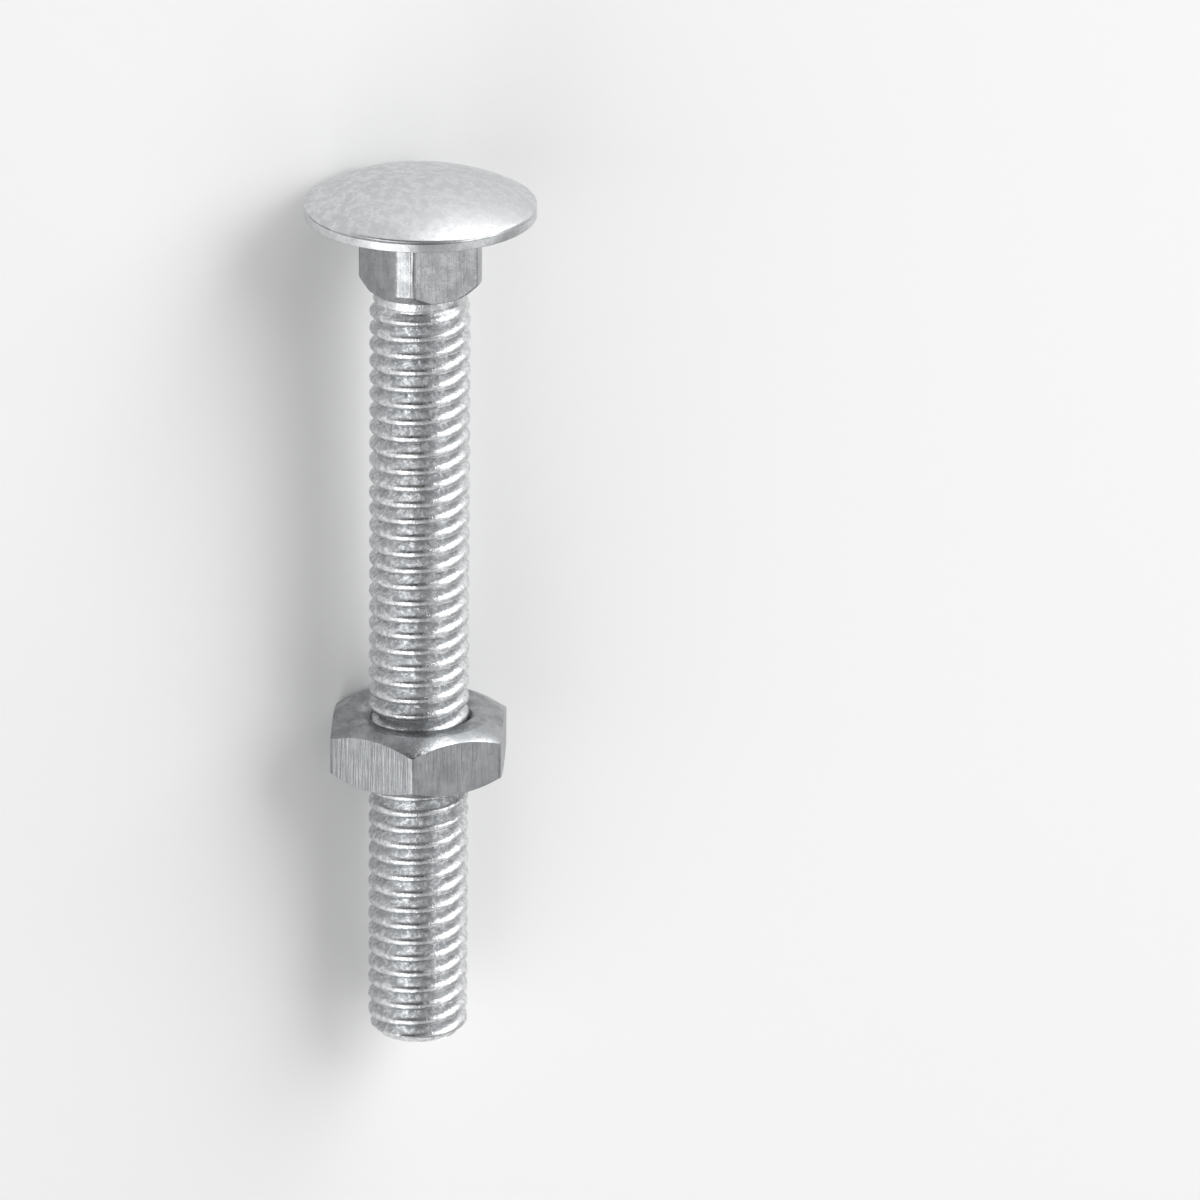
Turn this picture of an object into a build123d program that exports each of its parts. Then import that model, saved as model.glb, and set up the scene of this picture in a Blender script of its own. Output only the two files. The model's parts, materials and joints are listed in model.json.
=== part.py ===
from build123d import *
import os
from math import atan2, ceil, cos, degrees, pi, radians, sin, sqrt, tan

# Cup-head square-neck bolt, M6 x 50, with a hexagon nut run part of the way up it.
# Millimetres. Each piece is drawn standing: its axis is Z, the face under the head is z = 0
# and the shank runs up +Z. lay_down() then puts both pieces in the part's own frame, where
# the bolt lies on a level surface as it comes to rest, on the rim of its head and on one
# flat of the nut: +Z up, +X from head to tip, origin at the centre of the face under the head.

# ---- driving dimensions ----

# head: a low dome on a short upright rim
head_diameter = 13.2
head_rim_height = 0.7
head_dome_height = 1.7
head_edge_radius = 0.2      # between the dome and the rim
head_seat_chamfer = 0.15    # between the rim and the face under the head

# square neck, with its corners tapered off where it meets the shank
neck_width = 5.55
neck_corner_radius = 0.8
neck_depth = 4.45
neck_taper_start = 3.75
neck_turn = -4.3            # degrees, against the flats of the nut as it lies at rest
neck_root_radius = 0.25     # in the angle between the neck and the face under the head

# rolled right-hand thread, ISO metric M6 coarse; the plain blank under the neck has its pitch
# diameter. Its flanks are flat facets that meet in sharp crests and roots.
bolt_length = 50.0          # face under the head to tip
thread_pitch = 1.0
thread_crest_diameter = 5.75
thread_pitch_diameter = 5.30
thread_depth = 0.55
thread_facets = 24          # round each turn
thread_start = 5.2          # face under the head to where the blank swells into the thread
thread_crest_offset = 0.757 # from there to where a crest crosses the +X side
tip_face_diameter = 4.66
tip_taper_length = 0.55

# hexagon nut, chamfered on both faces
nut_width = 9.8             # across the flats
nut_thickness = 3.8
nut_face_diameter = 8.8     # flat ring left inside the chamfer
nut_chamfer_angle = 35.0    # degrees, against the face
nut_mouth_diameter = 6.75
nut_mouth_angle = 120.0     # degrees, the whole angle of the countersink
nut_running_clearance = 0.05
nut_station = 30.15         # face under the head to the near face of the nut

# ---- sizes that follow ----

head_radius = head_diameter / 2
crest_radius = thread_crest_diameter / 2
root_radius = crest_radius - thread_depth
blank_radius = thread_pitch_diameter / 2
tip_face_radius = tip_face_diameter / 2
helix_start = thread_start + thread_crest_offset - 2 * thread_pitch   # inside the neck
nut_face_radius = nut_face_diameter / 2
nut_chamfer_slope = tan(radians(nut_chamfer_angle))
base_down = (Align.CENTER, Align.CENTER, Align.MIN)   # a cone drawn upwards from z = 0


def turned(*outline):
    """A solid of revolution about Z from a closed outline in the XZ plane."""
    return revolve(Plane.XZ * make_face(outline), Axis.Z)


def head():
    """Dome, rim and flat bearing face, rounded over the rim and chamfered under it."""
    seat_edge = (head_radius - head_seat_chamfer, 0)
    rim_foot = (head_radius, -head_seat_chamfer)
    rim_top = (head_radius, -head_rim_height)
    crown = (0, -head_rim_height - head_dome_height)
    outline = [
        Line((0, 0), seat_edge),
        Line(seat_edge, rim_foot),
        Line(rim_foot, rim_top),
        dome_arc(rim_top, crown),
        Line(crown, (0, 0)),
    ]
    blank = turned(*outline)
    circles = blank.edges().filter_by(lambda edge: edge.is_closed)
    return fillet(circles.sort_by(Axis.Z)[0], head_edge_radius)


def dome_arc(rim_top, crown):
    """The quarter view of the dome: an arc centred on the axis, from the rim to the crown."""
    sphere_radius = (head_radius**2 + head_dome_height**2) / (2 * head_dome_height)
    return RadiusArc(rim_top, crown, sphere_radius)


def square_neck():
    """Square with round corners, its corners tapered off at 45 degrees towards the shank."""
    corner_reach = neck_width / sqrt(2) - neck_corner_radius * (sqrt(2) - 1)
    square = extrude(RectangleRounded(neck_width, neck_width, neck_corner_radius), neck_depth)
    foot_of_taper = corner_reach + neck_taper_start
    taper = Cone(foot_of_taper, foot_of_taper - neck_depth, neck_depth, align=base_down)
    return Rot(Z=neck_turn) * (square & taper)


def shank():
    """Plain blank under the neck, then the thread, swelling out of it and tapered at the tip."""
    outer_radius = crest_radius + thread_depth
    tip_slope = tip_taper_length / (crest_radius - tip_face_radius)
    outline = Polyline(
        (0, thread_start),
        (blank_radius, thread_start),
        (outer_radius, thread_start + outer_radius - blank_radius),
        (outer_radius, bolt_length - (outer_radius - tip_face_radius) * tip_slope),
        (tip_face_radius, bolt_length),
        (0, bolt_length),
        close=True,
    )
    return Cylinder(blank_radius, thread_start, align=base_down) + (thread() & turned(outline))


def thread():
    """The threaded core, some way past both ends of the part that shows."""
    turns = ceil((bolt_length - helix_start) / thread_pitch) + 1
    steps = turns * thread_facets
    skin = end_cap(0) + end_cap(steps)
    for step in range(steps):
        skin += flank_facets(step)
    return Solid(Shell(skin))


def on_helix(radius, step, lift=0.0):
    """The point so many facets along the helix, at a radius and raised by the lift."""
    angle = 2 * pi * step / thread_facets
    height = helix_start + lift + thread_pitch * step / thread_facets
    return (radius * cos(angle), radius * sin(angle), height)


def facet(*corners):
    return Face(Wire.make_polygon(corners, close=True))


def flank_facets(step):
    """One step of both flanks: from a crest in to the root, and out to the crest a pitch higher."""
    crest = on_helix(crest_radius, step)
    crest_ahead = on_helix(crest_radius, step + 1)
    root = on_helix(root_radius, step, thread_pitch / 2)
    root_ahead = on_helix(root_radius, step + 1, thread_pitch / 2)
    upper_crest = on_helix(crest_radius, step + thread_facets)
    upper_crest_ahead = on_helix(crest_radius, step + thread_facets + 1)
    return [
        facet(crest, crest_ahead, root),
        facet(crest_ahead, root_ahead, root),
        facet(root, root_ahead, upper_crest),
        facet(root_ahead, upper_crest_ahead, upper_crest),
    ]


def end_cap(step):
    """Closes the helix: a fan from the axis to one turn of the crest, and the wall behind it."""
    centre = on_helix(0, step)
    crest_turn = [on_helix(crest_radius, step + count) for count in range(thread_facets + 1)]
    fan = [facet(centre, here, ahead) for here, ahead in zip(crest_turn, crest_turn[1:])]
    root = on_helix(root_radius, step, thread_pitch / 2)
    return fan + [facet(centre, crest_turn[0], root, crest_turn[-1])]


def carriage_bolt():
    forged = head() + square_neck()
    root = [edge for edge in forged.edges().filter_by_position(Axis.Z, 0, 0) if not edge.is_closed]
    return fillet(root, neck_root_radius) + shank()


def hex_nut():
    """Hexagon with a cone off each face, a running bore and a countersink at each mouth."""
    stock = extrude(Rot(Z=30) * RegularPolygon(nut_width / 2, 6, major_radius=False), nut_thickness)
    wide_end = nut_face_radius + nut_thickness / nut_chamfer_slope
    near_cone = Cone(nut_face_radius, wide_end, nut_thickness, align=base_down)
    far_cone = Cone(wide_end, nut_face_radius, nut_thickness, align=base_down)
    blank = stock & near_cone & far_cone
    return Pos(Z=nut_station) * (blank - nut_bore())


def nut_bore():
    """The hole, opened to the mouth diameter at each face."""
    bore_radius = crest_radius + nut_running_clearance
    mouth_radius = nut_mouth_diameter / 2
    mouth_depth = (mouth_radius - bore_radius) / tan(radians(nut_mouth_angle / 2))
    outline = Polyline(
        (0, 0),
        (mouth_radius, 0),
        (bore_radius, mouth_depth),
        (bore_radius, nut_thickness - mouth_depth),
        (mouth_radius, nut_thickness),
        (0, nut_thickness),
        close=True,
    )
    return turned(outline)


def rest_tilt():
    """Degrees that the tip drops when the rim of the head and the far end of the nut's
    lower flat both touch the surface. The rim touches where its chamfer begins."""
    flat_end = nut_station + nut_thickness - (nut_width / 2 - nut_face_radius) * nut_chamfer_slope
    run = flat_end + head_seat_chamfer
    drop = head_radius - nut_width / 2
    return degrees(atan2(drop, run))


def lay_down(piece):
    """From standing on its axis to lying along +X, with the tip down by the rest tilt."""
    return Rot(Y=90 + rest_tilt()) * piece


def main():
    os.makedirs("parts", exist_ok=True)
    pieces = {"carriage_bolt": carriage_bolt(), "hex_nut": hex_nut()}
    for name, piece in pieces.items():
        export_step(lay_down(piece), f"parts/{name}.step")
        print(name, "volume", round(piece.volume, 2), "valid", piece.is_valid)
    print("rest tilt", round(rest_tilt(), 4))


main()
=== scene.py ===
"""A carriage bolt with its hexagon nut, zinc plated, lying on a pale floor.

Both pieces are drawn standing, in millimetres: the face under the head is z = 0 and the thread
runs up +Z. lay_on_axis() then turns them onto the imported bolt's own axis, in metres. Each is one
closed mesh. The thread is a sheet of points whose rows follow the helix, so that its crests and
roots stay clean lines, cut square at both ends and sewn to the plain forms on either side.
"""

import json
import math

import bmesh
import bpy
from mathutils import Matrix, Vector


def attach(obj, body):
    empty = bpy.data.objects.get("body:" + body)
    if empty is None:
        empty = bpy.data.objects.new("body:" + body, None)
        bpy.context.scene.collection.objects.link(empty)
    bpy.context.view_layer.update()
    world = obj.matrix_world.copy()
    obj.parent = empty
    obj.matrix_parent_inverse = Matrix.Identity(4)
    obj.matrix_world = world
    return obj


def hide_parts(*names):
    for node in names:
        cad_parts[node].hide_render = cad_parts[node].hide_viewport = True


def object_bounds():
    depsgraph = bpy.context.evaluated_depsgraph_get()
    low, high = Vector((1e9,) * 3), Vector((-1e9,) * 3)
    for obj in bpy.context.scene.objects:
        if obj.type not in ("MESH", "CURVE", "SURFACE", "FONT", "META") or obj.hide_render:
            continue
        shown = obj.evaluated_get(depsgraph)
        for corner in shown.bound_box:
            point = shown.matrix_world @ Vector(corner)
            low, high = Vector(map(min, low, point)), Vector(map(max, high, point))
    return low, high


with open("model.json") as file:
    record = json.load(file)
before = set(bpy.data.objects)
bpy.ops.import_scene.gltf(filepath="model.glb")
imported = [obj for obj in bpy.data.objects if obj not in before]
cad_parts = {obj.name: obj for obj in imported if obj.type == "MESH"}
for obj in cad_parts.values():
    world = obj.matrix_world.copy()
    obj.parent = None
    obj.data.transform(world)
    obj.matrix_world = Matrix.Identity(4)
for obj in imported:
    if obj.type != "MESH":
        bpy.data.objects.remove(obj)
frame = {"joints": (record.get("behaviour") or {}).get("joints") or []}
cad_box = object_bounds()

millimetre = 0.001

# directions over the lying bolt: along it to the tip, across it, and straight up from its axis
to_tip = Vector(frame["joints"][0]["axis"]).normalized()
sideways = Vector((0, 1, 0))
upward = to_tip.cross(sideways)


# ---- sizes of the bolt, millimetres ----

head_radius = 6.590
head_rim_height = 0.7
head_dome_height = 1.7
head_edge_radius = 0.14     # between the dome and the rim
head_seam_depth = 0.09      # the fold that forging leaves between the dome's edge and the rim
head_seam_height = 0.13
head_seam_section = ((0.7, 0.1), (1, 0.4), (0.8, 0.75), (0, 1))     # shares of its depth and height
head_seat_radius = 0.07     # between the rim and the face under the head
head_seat_rings = (5.6, 4.6)

neck_half_width = 2.84
neck_corner_radius = 3.51   # from the axis, where the square's corners are turned down
neck_corner_rounding = 0.06
neck_depth = 4.45
neck_taper_start = 3.83
neck_taper_rounding = 0.05
neck_turn = math.radians(-4.3)
neck_root_radius = 0.25     # in the angle under the head
neck_foot_edge = 0.06

blank_radius = 2.65
blank_root_width = 0.04     # in the angle between the neck's foot and the blank
blank_root_height = 0.06
bolt_length = 50.0
thread_start = 4.75
thread_full = 5.6
thread_lead = 0.1           # how far below its start the thread's sheet is sewn to the blank
tip_face_radius = 2.33
tip_taper_length = 0.55
tip_taper_rounding = 0.1
tip_edge = 0.03             # between the taper and the face of the tip
tip_dish = ((2.26, 0), (1.9, 0.01), (1.2, 0.06), (0, 0.09))         # radius and depth of its cup

pitch = 1.0
first_crest = 0.957         # height at which a crest crosses the direction +X
crest_radius = 2.875
crest_half_width = 0.17
crest_rounding = 0.20
root_radius = 2.27
root_rounding = 0.06
flank_slope = math.tan(math.radians(60))


# ---- sizes of the nut, millimetres ----

nut_station = 30.15         # height of its face nearer the head
nut_thickness = 3.8
nut_flat_radius = 4.9
nut_corner_rounding = 0.20
nut_face_radius = 4.25
nut_face_edge = 0.09        # how far the rounding reaches from the edge of the face
nut_shoulder_radius = 4.92  # where the chamfer steepens towards the corners
nut_shoulder_gap = 0.01     # least distance from there to the side
nut_side_edge = 0.007       # how far the rounding reaches from the edge of the side
nut_chamfer_slope = math.tan(math.radians(27))
nut_corner_slope = math.tan(math.radians(35))
nut_mouth_radius = 3.375
nut_mouth_lip = 0.03
nut_mouth_depth = 0.02      # how far in the thread's sheet ends and is sewn to the mouth
nut_mouth_slope = math.tan(math.radians(60))
nut_mouth_rounding = 0.04
nut_root_radius = 3.0
nut_root_half_width = 0.14
nut_bore_radius = 2.5
nut_thread_rounding = 0.05


# ---- how finely the pieces are divided ----

head_sides = 128
dome_steps = 26
edge_steps = 6
neck_sides = 384
neck_root_steps = 4
neck_wall_steps = 7
neck_wall_step = 0.45
neck_taper_steps = 14
neck_taper_step = 0.07
neck_taper_top = 3.4        # the rings stand close together from here down the taper
blank_sides = 96
tip_sides = 72
bolt_thread_columns = 96
nut_thread_columns = 120
# distances from the crest at which a thread's section has points, in pitches
bolt_thread_half = [0.0, 0.06, 0.12, 0.18, 0.24, 0.30, 0.38, 0.45, 0.485]
nut_thread_half = [0.0, 0.11, 0.14, 0.17, 0.28, 0.40, 0.43, 0.46]
# degrees from a corner of the nut to the middle of its flat
nut_half_side = [0, 0.3, 0.7, 1.2, 1.9, 3, 5, 9, 15, 22]
bend_steps = 4
same_point = 1e-5


# ---- small sums ----

def soft_min(a, b, width):
    """The lesser of two values, with the change from one to the other rounded over."""
    share = max(width - abs(a - b), 0) / width
    return min(a, b) - share * share * width / 4


def soft_max(a, b, width):
    return -soft_min(-a, -b, width)


def ease(value, low, high):
    """0 up to low, 1 from high, and a smooth rise between."""
    t = min(max((value - low) / (high - low), 0), 1)
    return t * t * (3 - 2 * t)


def turn_of(vertex):
    """The direction of a vertex round the axis, from 0 to a full turn."""
    return math.atan2(vertex.co.y, vertex.co.x) % math.tau


def from_nearest(angle, step):
    """How far a direction lies from the nearest whole number of steps."""
    return (angle + step / 2) % step - step / 2


# ---- sewing rings of points into closed forms ----

def add_ring(mesh, angles, radius_at, height):
    """One closed ring of points. radius_at gives the radius in each direction."""
    ring = []
    for angle in angles:
        radius = radius_at(angle)
        ring.append(mesh.verts.new((radius * math.cos(angle), radius * math.sin(angle), height)))
    return ring


def add_round(mesh, angles, radius, height):
    return add_ring(mesh, angles, lambda angle: radius, height)


def even_angles(count):
    return [math.tau * i / count for i in range(count)]


def join_rings(mesh, lower, upper):
    """A band of quads between two rings with the same number of points."""
    for i, vertex in enumerate(lower):
        mesh.faces.new((vertex, lower[i - 1], upper[i - 1], upper[i]))


def join_all(mesh, rings):
    for one, next_one in zip(rings, rings[1:]):
        join_rings(mesh, one, next_one)


def sew_rings(mesh, one, two):
    """A band of triangles between two rings whose points don't face each other."""
    one = sorted(one, key=turn_of)
    two = sorted(two, key=turn_of)
    one_turns = [turn_of(v) for v in one] + [turn_of(one[0]) + math.tau]
    two_turns = [turn_of(v) for v in two] + [turn_of(two[0]) + math.tau]
    i = j = 0
    while i < len(one) or j < len(two):
        here, there = one[i % len(one)], two[j % len(two)]
        if j == len(two) or (i < len(one) and one_turns[i + 1] <= two_turns[j + 1]):
            i += 1
            mesh.faces.new((here, one[i % len(one)], there))
        else:
            j += 1
            mesh.faces.new((here, two[j % len(two)], there))


def close_ring(mesh, ring, height):
    """A fan from a ring to one point on the axis."""
    centre = mesh.verts.new((0, 0, height))
    for i, vertex in enumerate(ring):
        mesh.faces.new((ring[i - 1], vertex, centre))


def threaded_tube(mesh, low, high, radius_at, columns, half_section):
    """An open tube from low to high whose rows of points follow the helix.

    radius_at takes the distance from the nearest crest, in pitches, and the height. One column
    of points stands at each direction round the axis, and a full turn on, row n of the last
    column meets the row one pitch up in the first.
    """
    stations = [-0.5] + [-part for part in reversed(half_section[1:])] + half_section
    first = math.floor(low / pitch) - 3
    last = math.ceil(high / pitch) + 2
    rows = [whole + part for whole in range(first, last) for part in stations]
    grid = []
    for i in range(columns):
        angle = math.tau * i / columns
        column = []
        for row in rows:
            height = first_crest + pitch * (row + i / columns)
            radius = radius_at(abs(row - round(row)), height)
            point = (radius * math.cos(angle), radius * math.sin(angle), height)
            column.append(mesh.verts.new(point))
        grid.append(column)
    grid.append(grid[0][len(stations):])
    for left, right in zip(grid, grid[1:]):
        for j in range(len(right) - 1):
            mesh.faces.new((left[j], right[j], right[j + 1], left[j + 1]))
    return cut_square(mesh, low, (0, 0, -1)), cut_square(mesh, high, (0, 0, 1))


def cut_square(mesh, height, outward):
    """Trims what is past a height, and returns the ring of points left at the cut."""
    everything = mesh.verts[:] + mesh.edges[:] + mesh.faces[:]
    bmesh.ops.bisect_plane(mesh, geom=everything, plane_co=(0, 0, height), plane_no=outward,
                           clear_outer=True)
    return [v for v in mesh.verts if v.link_edges and abs(v.co.z - height) < same_point]


# ---- the bolt ----

def bolt_thread_radius(from_crest, height):
    """The rolled profile: rounded crests and roots, rising out of the blank and cut by the taper
    at the tip."""
    flank = crest_radius + flank_slope * (crest_half_width - from_crest * pitch)
    crest = soft_min(crest_radius, flank, crest_rounding)
    profile = soft_max(crest, root_radius, root_rounding)
    grown = ease(height, thread_start, thread_full)
    radius = blank_radius + grown * (profile - blank_radius)
    taper_slope = (crest_radius - tip_face_radius) / tip_taper_length
    taper = tip_face_radius + taper_slope * (bolt_length - height)
    return soft_min(radius, taper, tip_taper_rounding)


def head_section():
    """Radius and height down the head: the dome from near its crown, its rounded edge, the fold
    under that, the rim, and the face that bears."""
    sphere = (head_radius**2 + head_dome_height**2) / (2 * head_dome_height)
    sphere_centre = sphere - head_rim_height - head_dome_height
    edge = head_radius - head_edge_radius
    lean = math.asin(edge / (sphere - head_edge_radius))
    edge_centre = sphere_centre - (sphere - head_edge_radius) * math.cos(lean)
    section = []
    for i in range(1, dome_steps + 1):
        a = lean * i / dome_steps
        section.append((sphere * math.sin(a), sphere_centre - sphere * math.cos(a)))
    for i in range(1, edge_steps + 1):
        a = lean + (math.pi / 2 - lean) * i / edge_steps
        section.append((edge + head_edge_radius * math.sin(a),
                        edge_centre - head_edge_radius * math.cos(a)))
    for inset, drop in head_seam_section:
        section.append((head_radius - head_seam_depth * inset,
                        edge_centre + head_seam_height * drop))
    seat_centre = head_radius - head_seat_radius
    for i in range(edge_steps + 1):
        a = math.pi / 2 * i / edge_steps
        section.append((seat_centre + head_seat_radius * math.cos(a),
                        head_seat_radius * (math.sin(a) - 1)))
    return section + [(radius, 0) for radius in head_seat_rings]


def neck_radius(angle, height):
    """The square with its corners turned down and tapered, and a small radius under the head."""
    off_middle = from_nearest(angle - neck_turn, math.pi / 2)
    flat = neck_half_width / math.cos(off_middle)
    radius = soft_min(flat, neck_corner_radius, neck_corner_rounding)
    taper = neck_corner_radius + neck_taper_start - height
    radius = soft_min(radius, taper, neck_taper_rounding)
    if height < neck_root_radius:
        rise = neck_root_radius - height
        radius += neck_root_radius - math.sqrt(neck_root_radius**2 - rise**2)
    return radius


def neck_heights():
    """Close together in the root and down the taper, and wide apart on the wall."""
    root_turns = [math.pi / 2 * i / neck_root_steps for i in range(neck_root_steps + 1)]
    root = [neck_root_radius * (1 - math.cos(a)) for a in root_turns]
    wall = [neck_root_radius + neck_wall_step * i for i in range(1, neck_wall_steps + 1)]
    taper = [neck_taper_top + neck_taper_step * i for i in range(1, neck_taper_steps + 1)]
    return root + wall + taper


def bolt_mesh():
    """Head, neck, blank, thread and tip in one closed skin."""
    mesh = bmesh.new()
    low, high = threaded_tube(mesh, thread_start - thread_lead, bolt_length - tip_edge,
                              bolt_thread_radius, bolt_thread_columns, bolt_thread_half)

    round_head = even_angles(head_sides)
    head = [add_round(mesh, round_head, radius, height) for radius, height in head_section()]
    close_ring(mesh, head[0], -head_rim_height - head_dome_height)
    join_all(mesh, head)

    square = even_angles(neck_sides)
    neck = []
    for height in neck_heights():
        neck.append(add_ring(mesh, square, lambda angle: neck_radius(angle, height), height))
    join_all(mesh, neck)
    sew_rings(mesh, head[-1], neck[0])
    foot = add_ring(mesh, square, lambda angle: neck_radius(angle, neck_depth) - neck_foot_edge,
                    neck_depth)
    join_rings(mesh, neck[-1], foot)

    blank = even_angles(blank_sides)
    blank_root = add_round(mesh, blank, blank_radius + blank_root_width, neck_depth)
    blank_wall = add_round(mesh, blank, blank_radius, neck_depth + blank_root_height)
    sew_rings(mesh, foot, blank_root)
    join_rings(mesh, blank_root, blank_wall)
    sew_rings(mesh, blank_wall, low)

    tip = even_angles(tip_sides)
    cup = [add_round(mesh, tip, radius, bolt_length - depth) for radius, depth in tip_dish[:-1]]
    sew_rings(mesh, high, cup[0])
    join_all(mesh, cup)
    close_ring(mesh, cup[-1], bolt_length - tip_dish[-1][1])
    return mesh


# ---- the nut ----

def nut_thread_radius(from_crest, height):
    """The tapped profile, open enough to clear the bolt's thread, countersunk at each mouth."""
    flank = nut_root_radius + flank_slope * (nut_root_half_width - from_crest * pitch)
    root = soft_min(nut_root_radius, flank, nut_thread_rounding)
    profile = soft_max(root, nut_bore_radius, nut_thread_rounding)
    into = min(height - nut_station, nut_station + nut_thickness - height)
    countersink = nut_mouth_radius - nut_mouth_slope * max(into, 0)
    return soft_max(profile, countersink, nut_mouth_rounding)


def nut_angles():
    """Directions round the nut, closest together at its six corners."""
    side = nut_half_side + [30] + [60 - a for a in reversed(nut_half_side[1:])]
    return [math.radians(30 + 60 * k + a) for k in range(6) for a in side]


def nut_side_radius(angle):
    """The hexagon, with its upright corners rounded over."""
    sixth = math.pi / 3
    off_middle = from_nearest(angle, sixth)
    flat = nut_flat_radius / math.cos(off_middle)
    next_flat = nut_flat_radius / math.cos(sixth - abs(off_middle))
    return soft_min(flat, next_flat, nut_corner_rounding)


def bend(before, corner, after, reach):
    """Points that carry a section round one of its corners, from reach before it to reach after."""
    start = corner + (before - corner).normalized() * reach
    end = corner + (after - corner).normalized() * reach
    points = []
    for i in range(bend_steps + 1):
        t = i / bend_steps
        points.append(start * (1 - t)**2 + corner * 2 * t * (1 - t) + end * t**2)
    return points


def nut_section(angle):
    """Radius and height down the outside of the nut, in one direction."""
    side = nut_side_radius(angle)
    shoulder = min(nut_shoulder_radius, side - nut_shoulder_gap)
    shoulder_depth = (shoulder - nut_face_radius) * nut_chamfer_slope
    depth = shoulder_depth + (side - shoulder) * nut_corner_slope
    mouth = Vector((nut_mouth_radius, 0))
    face_edge = Vector((nut_face_radius, 0))
    shoulder_edge = Vector((shoulder, shoulder_depth))
    side_edge = Vector((side, depth))
    side_middle = Vector((side, nut_thickness / 2))
    near = bend(mouth, face_edge, shoulder_edge, nut_face_edge)
    near += [shoulder_edge]
    near += bend(shoulder_edge, side_edge, side_middle, nut_side_edge)
    far = [Vector((p.x, nut_thickness - p.y)) for p in reversed(near)]
    return near + far


def nut_mesh():
    """Hexagon, chamfers, countersinks and the tapped hole in one closed skin."""
    mesh = bmesh.new()
    low, high = threaded_tube(mesh, nut_station + nut_mouth_depth,
                              nut_station + nut_thickness - nut_mouth_depth,
                              nut_thread_radius, nut_thread_columns, nut_thread_half)

    angles = nut_angles()
    sections = [nut_section(angle) for angle in angles]
    rings = []
    for place in range(len(sections[0])):
        ring = []
        for angle, section in zip(angles, sections):
            radius, height = section[place]
            point = (radius * math.cos(angle), radius * math.sin(angle), nut_station + height)
            ring.append(mesh.verts.new(point))
        rings.append(ring)
    join_all(mesh, rings)
    for ring, loop, height in ((rings[0], low, 0), (rings[-1], high, nut_thickness)):
        mouth = add_round(mesh, angles, nut_mouth_radius + nut_mouth_lip, nut_station + height)
        join_rings(mesh, ring, mouth)
        sew_rings(mesh, mouth, loop)
    return mesh


# ---- from standing to lying ----

sharp_edge = math.radians(32)
seat_slack = 0.001          # the head's faces lie below this height
upright_limit = 0.3         # the most that an upright face's normal leans


def lay_on_axis():
    """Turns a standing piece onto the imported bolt's axis, and millimetres into metres."""
    matrix = Matrix.Identity(4)
    matrix.col[0][:3] = (to_tip.z, 0, -to_tip.x)
    matrix.col[1][:3] = (0, 1, 0)
    matrix.col[2][:3] = to_tip
    return matrix @ Matrix.Scale(millimetre, 4)


def finish_of(face, body):
    """Which finish a standing face takes: on the bolt that of the head, the neck or the thread, on
    the nut that of its flats or of its faces."""
    place = face.calc_center_median()
    if body == "bolt":
        if place.z < seat_slack:
            return 0
        return 1 if place.z < neck_depth + blank_root_height / 2 else 2
    upright = abs(face.normal.z) < upright_limit and place.xy.length > nut_face_radius
    return 0 if upright else 1


def make_piece(name, mesh, finishes, body, node):
    """A finished object: laid down, smooth but for its real edges, riding on its body."""
    bmesh.ops.remove_doubles(mesh, verts=mesh.verts, dist=same_point)
    bmesh.ops.recalc_face_normals(mesh, faces=mesh.faces)
    for face in mesh.faces:
        face.material_index = finish_of(face, body)
        face.smooth = True
    mesh.transform(lay_on_axis())
    data = bpy.data.meshes.new(name)
    mesh.to_mesh(data)
    mesh.free()
    data.set_sharp_from_angle(angle=sharp_edge)
    for finish in finishes:
        data.materials.append(finish)
    piece = bpy.data.objects.new(name, data)
    bpy.context.scene.collection.objects.link(piece)
    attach(piece, body)
    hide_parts(node)


# ---- node helpers ----

def new_node(tree, kind, inputs=None, **settings):
    """One node, with its settings and the values or links of its inputs."""
    made = tree.nodes.new(kind)
    for key, value in settings.items():
        setattr(made, key, value)
    for key, value in (inputs or {}).items():
        if isinstance(value, bpy.types.NodeSocket):
            tree.links.new(value, made.inputs[key])
        else:
            made.inputs[key].default_value = value
    return made


def new_group(name, inputs, outputs):
    """An empty effect group with its named inputs, defaults and outputs."""
    group = bpy.data.node_groups.new(name, "ShaderNodeTree")
    for label, value in inputs.items():
        socket = group.interface.new_socket(label, in_out="INPUT", socket_type="NodeSocketFloat")
        socket.default_value = value
    for label in outputs:
        group.interface.new_socket(label, in_out="OUTPUT", socket_type="NodeSocketFloat")
    start = group.nodes.new("NodeGroupInput")
    end = group.nodes.new("NodeGroupOutput")
    return group, start, end


def standing_place(tree):
    """The point on the piece in the standing frame: Z along the bolt."""
    tilt = math.pi / 2 + math.atan2(-to_tip.z, to_tip.x)
    place = new_node(tree, "ShaderNodeTexCoord").outputs["Object"]
    turned = new_node(tree, "ShaderNodeMapping", {"Vector": place, "Rotation": (0, -tilt, 0)})
    return turned.outputs["Vector"]


def noise_at(tree, place, scale, detail, roughness=0.5):
    inputs = {"Vector": place, "Scale": scale, "Detail": detail, "Roughness": roughness}
    return new_node(tree, "ShaderNodeTexNoise", inputs).outputs["Fac"]


def maths(tree, operation, one, two):
    return new_node(tree, "ShaderNodeMath", {0: one, 1: two}, operation=operation).outputs[0]


def per_metre(tree, size_mm):
    """How many times a size in millimetres goes into a metre."""
    return maths(tree, "DIVIDE", 1000.0, size_mm)


def remap(tree, value, low, high, out_low=0.0, out_high=1.0):
    inputs = {"Value": value, "From Min": low, "From Max": high,
              "To Min": out_low, "To Max": out_high}
    made = new_node(tree, "ShaderNodeMapRange", inputs, interpolation_type="SMOOTHSTEP")
    return made.outputs["Result"]


# ---- effects that the finishes share ----

wide_grain_scale = 0.31     # against the fine grain's
wide_grain_height = 0.8
fleck_range = (0.5, 0.68)
patch_range = (0.36, 0.64)


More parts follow.
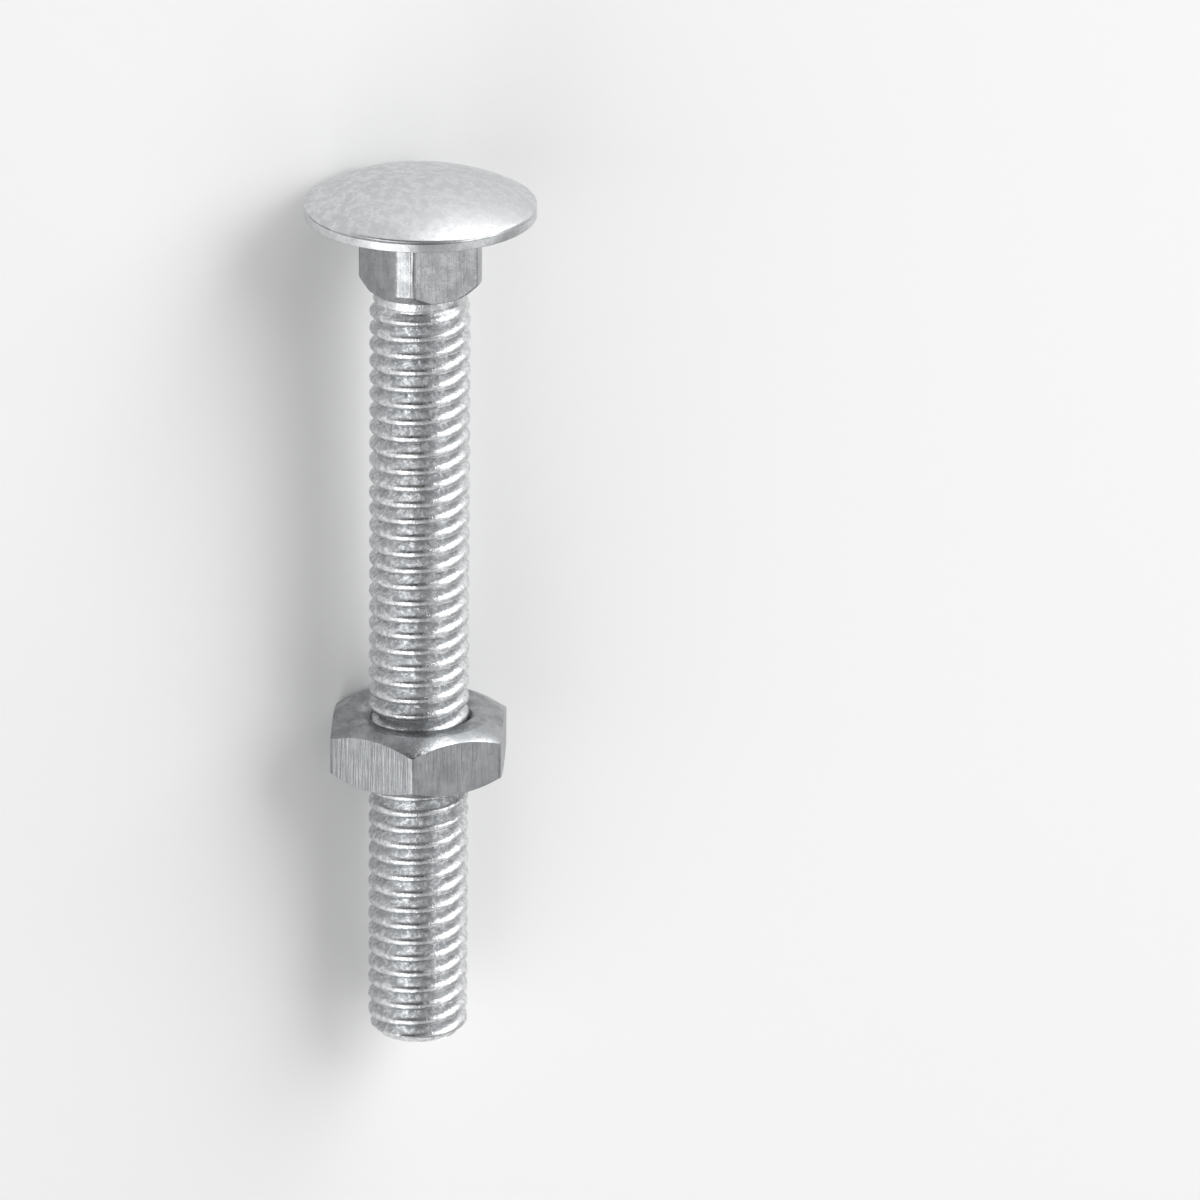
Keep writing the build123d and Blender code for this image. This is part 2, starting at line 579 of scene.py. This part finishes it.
def make_grain():
    """Plating grain: a fine pebbled height and a mask of brighter flecks."""
    group, start, end = new_group("plating_grain", {"Size mm": 0.15}, ["Height", "Flecks"])
    place = standing_place(group)
    scale = per_metre(group, start.outputs["Size mm"])
    fine = noise_at(group, place, scale, detail=3.0, roughness=0.6)
    wide_scale = maths(group, "MULTIPLY", scale, wide_grain_scale)
    wide = noise_at(group, place, wide_scale, detail=1.0)
    height = maths(group, "ADD", fine, maths(group, "MULTIPLY", wide, wide_grain_height))
    flecks = remap(group, fine, *fleck_range)
    group.links.new(height, end.inputs["Height"])
    group.links.new(flecks, end.inputs["Flecks"])
    return group


def make_streaks():
    """Tool streaks along the bolt: long thin marks, as drawing and shearing leave on flat walls."""
    sizes = {"Width mm": 0.12, "Length mm": 2.5}
    group, start, end = new_group("tool_streaks", sizes, ["Streaks"])
    place = standing_place(group)
    across = per_metre(group, start.outputs["Width mm"])
    along = per_metre(group, start.outputs["Length mm"])
    size = new_node(group, "ShaderNodeCombineXYZ", {"X": across, "Y": across, "Z": along})
    stretched = new_node(group, "ShaderNodeVectorMath", {0: place, 1: size.outputs[0]},
                         operation="MULTIPLY")
    streaks = noise_at(group, stretched.outputs[0], 1.0, detail=2.0, roughness=0.55)
    group.links.new(streaks, end.inputs["Streaks"])
    return group


def make_mottle():
    """Cloudy patches where the plating took unevenly and was handled."""
    group, start, end = new_group("uneven_plating", {"Size mm": 1.6}, ["Patches"])
    scale = per_metre(group, start.outputs["Size mm"])
    clouds = noise_at(group, standing_place(group), scale, detail=6.0, roughness=0.68)
    group.links.new(remap(group, clouds, *patch_range), end.inputs["Patches"])
    return group


effects = {"grain": make_grain(), "streaks": make_streaks(), "mottle": make_mottle()}


def effect(tree, name, **inputs):
    """Places a shared effect in a finish, with this finish's own sizes, and returns its outputs."""
    made = tree.nodes.new("ShaderNodeGroup")
    made.node_tree = effects[name]
    for key, value in inputs.items():
        made.inputs[key.replace("_", " ")].default_value = value
    return made.outputs


# ---- finishes ----

def plated_finish(name, light, dark, polished, dull, grain_size, grain_depth, mottle_size,
                  fleck_share, streak_depth=0.0):
    """Bright zinc. Patches and flecks take it from light and polished to dark and dull. Grain and
    streaks stand in the height. Sizes and depths are in millimetres."""
    finish = bpy.data.materials.new(name)
    finish.use_nodes = True
    tree = finish.node_tree
    shader = tree.nodes["Principled BSDF"]
    shader.inputs["Metallic"].default_value = 1.0
    patches = effect(tree, "mottle", Size_mm=mottle_size)["Patches"]
    grain = effect(tree, "grain", Size_mm=grain_size)
    height = grain["Height"]
    if streak_depth:
        streaks = effect(tree, "streaks")["Streaks"]
        height = maths(tree, "ADD", height,
                       maths(tree, "MULTIPLY", streaks, streak_depth / grain_depth))
        patches = maths(tree, "MULTIPLY", maths(tree, "ADD", patches, streaks), 0.5)
    wear = maths(tree, "ADD", patches, maths(tree, "MULTIPLY", grain["Flecks"], fleck_share))
    shade = new_node(tree, "ShaderNodeMix", {0: wear, 6: (*light, 1), 7: (*dark, 1)},
                     data_type="RGBA")
    tree.links.new(shade.outputs[2], shader.inputs["Base Color"])
    tree.links.new(remap(tree, wear, 0.0, 1.0, polished, dull), shader.inputs["Roughness"])
    bump = new_node(tree, "ShaderNodeBump",
                    {"Height": height, "Strength": 1.0, "Distance": grain_depth * millimetre})
    tree.links.new(bump.outputs["Normal"], shader.inputs["Normal"])
    return finish


nut_light, nut_dark = (0.43, 0.44, 0.45), (0.28, 0.29, 0.30)

forged_head = plated_finish(
    "zinc_on_forged_head", light=(0.69, 0.70, 0.71), dark=(0.55, 0.56, 0.57),
    polished=0.31, dull=0.40, grain_size=0.14, grain_depth=0.011,
    mottle_size=0.60, fleck_share=0.9)
drawn_neck = plated_finish(
    "zinc_on_drawn_neck", light=(0.54, 0.55, 0.56), dark=(0.29, 0.30, 0.31),
    polished=0.18, dull=0.32, grain_size=0.12, grain_depth=0.008,
    mottle_size=1.0, fleck_share=0.3, streak_depth=0.028)
rolled_thread = plated_finish(
    "zinc_on_rolled_thread", light=(0.90, 0.91, 0.92), dark=(0.53, 0.54, 0.55),
    polished=0.24, dull=0.40, grain_size=0.11, grain_depth=0.020,
    mottle_size=0.30, fleck_share=0.7)
nut_flats = plated_finish(
    "zinc_on_nut_flats", light=nut_light, dark=nut_dark,
    polished=0.26, dull=0.40, grain_size=0.12, grain_depth=0.010,
    mottle_size=1.2, fleck_share=0.3, streak_depth=0.05)
nut_faces = plated_finish(
    "zinc_on_nut_faces", light=nut_light, dark=nut_dark,
    polished=0.22, dull=0.36, grain_size=0.14, grain_depth=0.010,
    mottle_size=1.2, fleck_share=0.3)

make_piece("threaded_bolt", bolt_mesh(), [forged_head, drawn_neck, rolled_thread],
           "bolt", "carriage_bolt")
make_piece("tapped_nut", nut_mesh(), [nut_flats, nut_faces], "nut", "hex_nut")


# ---- floor, light and camera, in metres ----

floor_reach = 2.5
floor_shade = (0.93, 0.93, 0.93, 1)
world_shade = (0.04, 0.04, 0.04, 1)
bolt_middle = to_tip * 0.025

camera_turned = math.radians(26.3)      # off the vertical, round the bolt
camera_leaning = math.radians(21.5)     # to the head's end
camera_distance = 0.643
camera_lens = 336.6
camera_roll = math.tan(math.radians(-0.775))
aim_right = 0.01034                     # from the middle of the bolt, across the view
aim_up = 0.00208


def make_floor():
    """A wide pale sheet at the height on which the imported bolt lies."""
    level = cad_box[0].z
    mesh = bmesh.new()
    signs = ((-1, -1), (1, -1), (1, 1), (-1, 1))
    mesh.faces.new([mesh.verts.new((floor_reach * x, floor_reach * y, level)) for x, y in signs])
    data = bpy.data.meshes.new("floor")
    mesh.to_mesh(data)
    mesh.free()
    finish = bpy.data.materials.new("pale_floor")
    finish.use_nodes = True
    shader = finish.node_tree.nodes["Principled BSDF"]
    shader.inputs["Base Color"].default_value = floor_shade
    shader.inputs["Roughness"].default_value = 0.9
    shader.inputs["Specular IOR Level"].default_value = 0.1
    data.materials.append(finish)
    floor = bpy.data.objects.new("floor", data)
    bpy.context.scene.collection.objects.link(floor)


def look_from(where, target, up):
    """A rotation that points -Z from where to target, with up as near +Y as it can be."""
    back = (where - target).normalized()
    right = up.cross(back).normalized()
    return Matrix((right, back.cross(right), back)).transposed().to_quaternion()


def add_lamp(name, toward, distance, width, depth, watts, up):
    """A soft box that faces the middle of the bolt. toward is (to the tip, across, up)."""
    direction = (to_tip * toward[0] + sideways * toward[1] + upward * toward[2]).normalized()
    data = bpy.data.lights.new(name, "AREA")
    data.shape = "RECTANGLE"
    data.size = width
    data.size_y = depth
    data.energy = watts
    lamp = bpy.data.objects.new(name, data)
    lamp.location = bolt_middle + direction * distance
    lamp.rotation_mode = "QUATERNION"
    lamp.rotation_quaternion = look_from(lamp.location, bolt_middle, up)
    bpy.context.scene.collection.objects.link(lamp)


def make_light():
    """A dim grey room with six soft boxes round and over the bolt."""
    world = bpy.data.worlds.new("studio")
    world.use_nodes = True
    world.node_tree.nodes["Background"].inputs["Color"].default_value = world_shade
    bpy.context.scene.world = world
    add_lamp("key", toward=(-0.50, 0.55, 0.67), distance=0.65,
             width=0.50, depth=0.50, watts=2.5, up=upward)
    add_lamp("side", toward=(0.10, 0.96, 0.26), distance=0.90,
             width=1.50, depth=0.60, watts=1.4, up=to_tip)
    add_lamp("strip", toward=(0.37, -0.80, 0.46), distance=0.60,
             width=0.48, depth=0.85, watts=2.8, up=to_tip)
    add_lamp("top", toward=(0.37, 0.0, 0.93), distance=0.60,
             width=0.40, depth=0.80, watts=0.50, up=to_tip)
    add_lamp("fill", toward=(0.40, 0.50, 0.75), distance=0.60,
             width=0.40, depth=0.80, watts=0.85, up=to_tip)
    add_lamp("card", toward=(-0.88, 0.47, 0.08), distance=0.60,
             width=0.50, depth=0.22, watts=2.3, up=upward)


def make_camera():
    """Above the lying bolt, turned off the vertical and leaning to the head's end."""
    facing = upward * math.cos(camera_turned) - sideways * math.sin(camera_turned)
    right = sideways * math.cos(camera_turned) + upward * math.sin(camera_turned)
    outward = facing * math.cos(camera_leaning) - to_tip * math.sin(camera_leaning)
    view_up = facing * math.sin(camera_leaning) + to_tip * -math.cos(camera_leaning)
    data = bpy.data.cameras.new("camera")
    data.sensor_width = 36
    data.lens = camera_lens
    data.clip_start = 0.01
    data.clip_end = 20
    camera = bpy.data.objects.new("camera", data)
    camera.location = bolt_middle + outward * camera_distance
    camera.rotation_mode = "QUATERNION"
    aim = bolt_middle + right * aim_right + view_up * aim_up
    camera.rotation_quaternion = look_from(camera.location, aim, view_up + right * camera_roll)
    bpy.context.scene.collection.objects.link(camera)
    bpy.context.scene.camera = camera


make_floor()
make_light()
make_camera()
bpy.context.scene.view_settings.view_transform = "Standard"
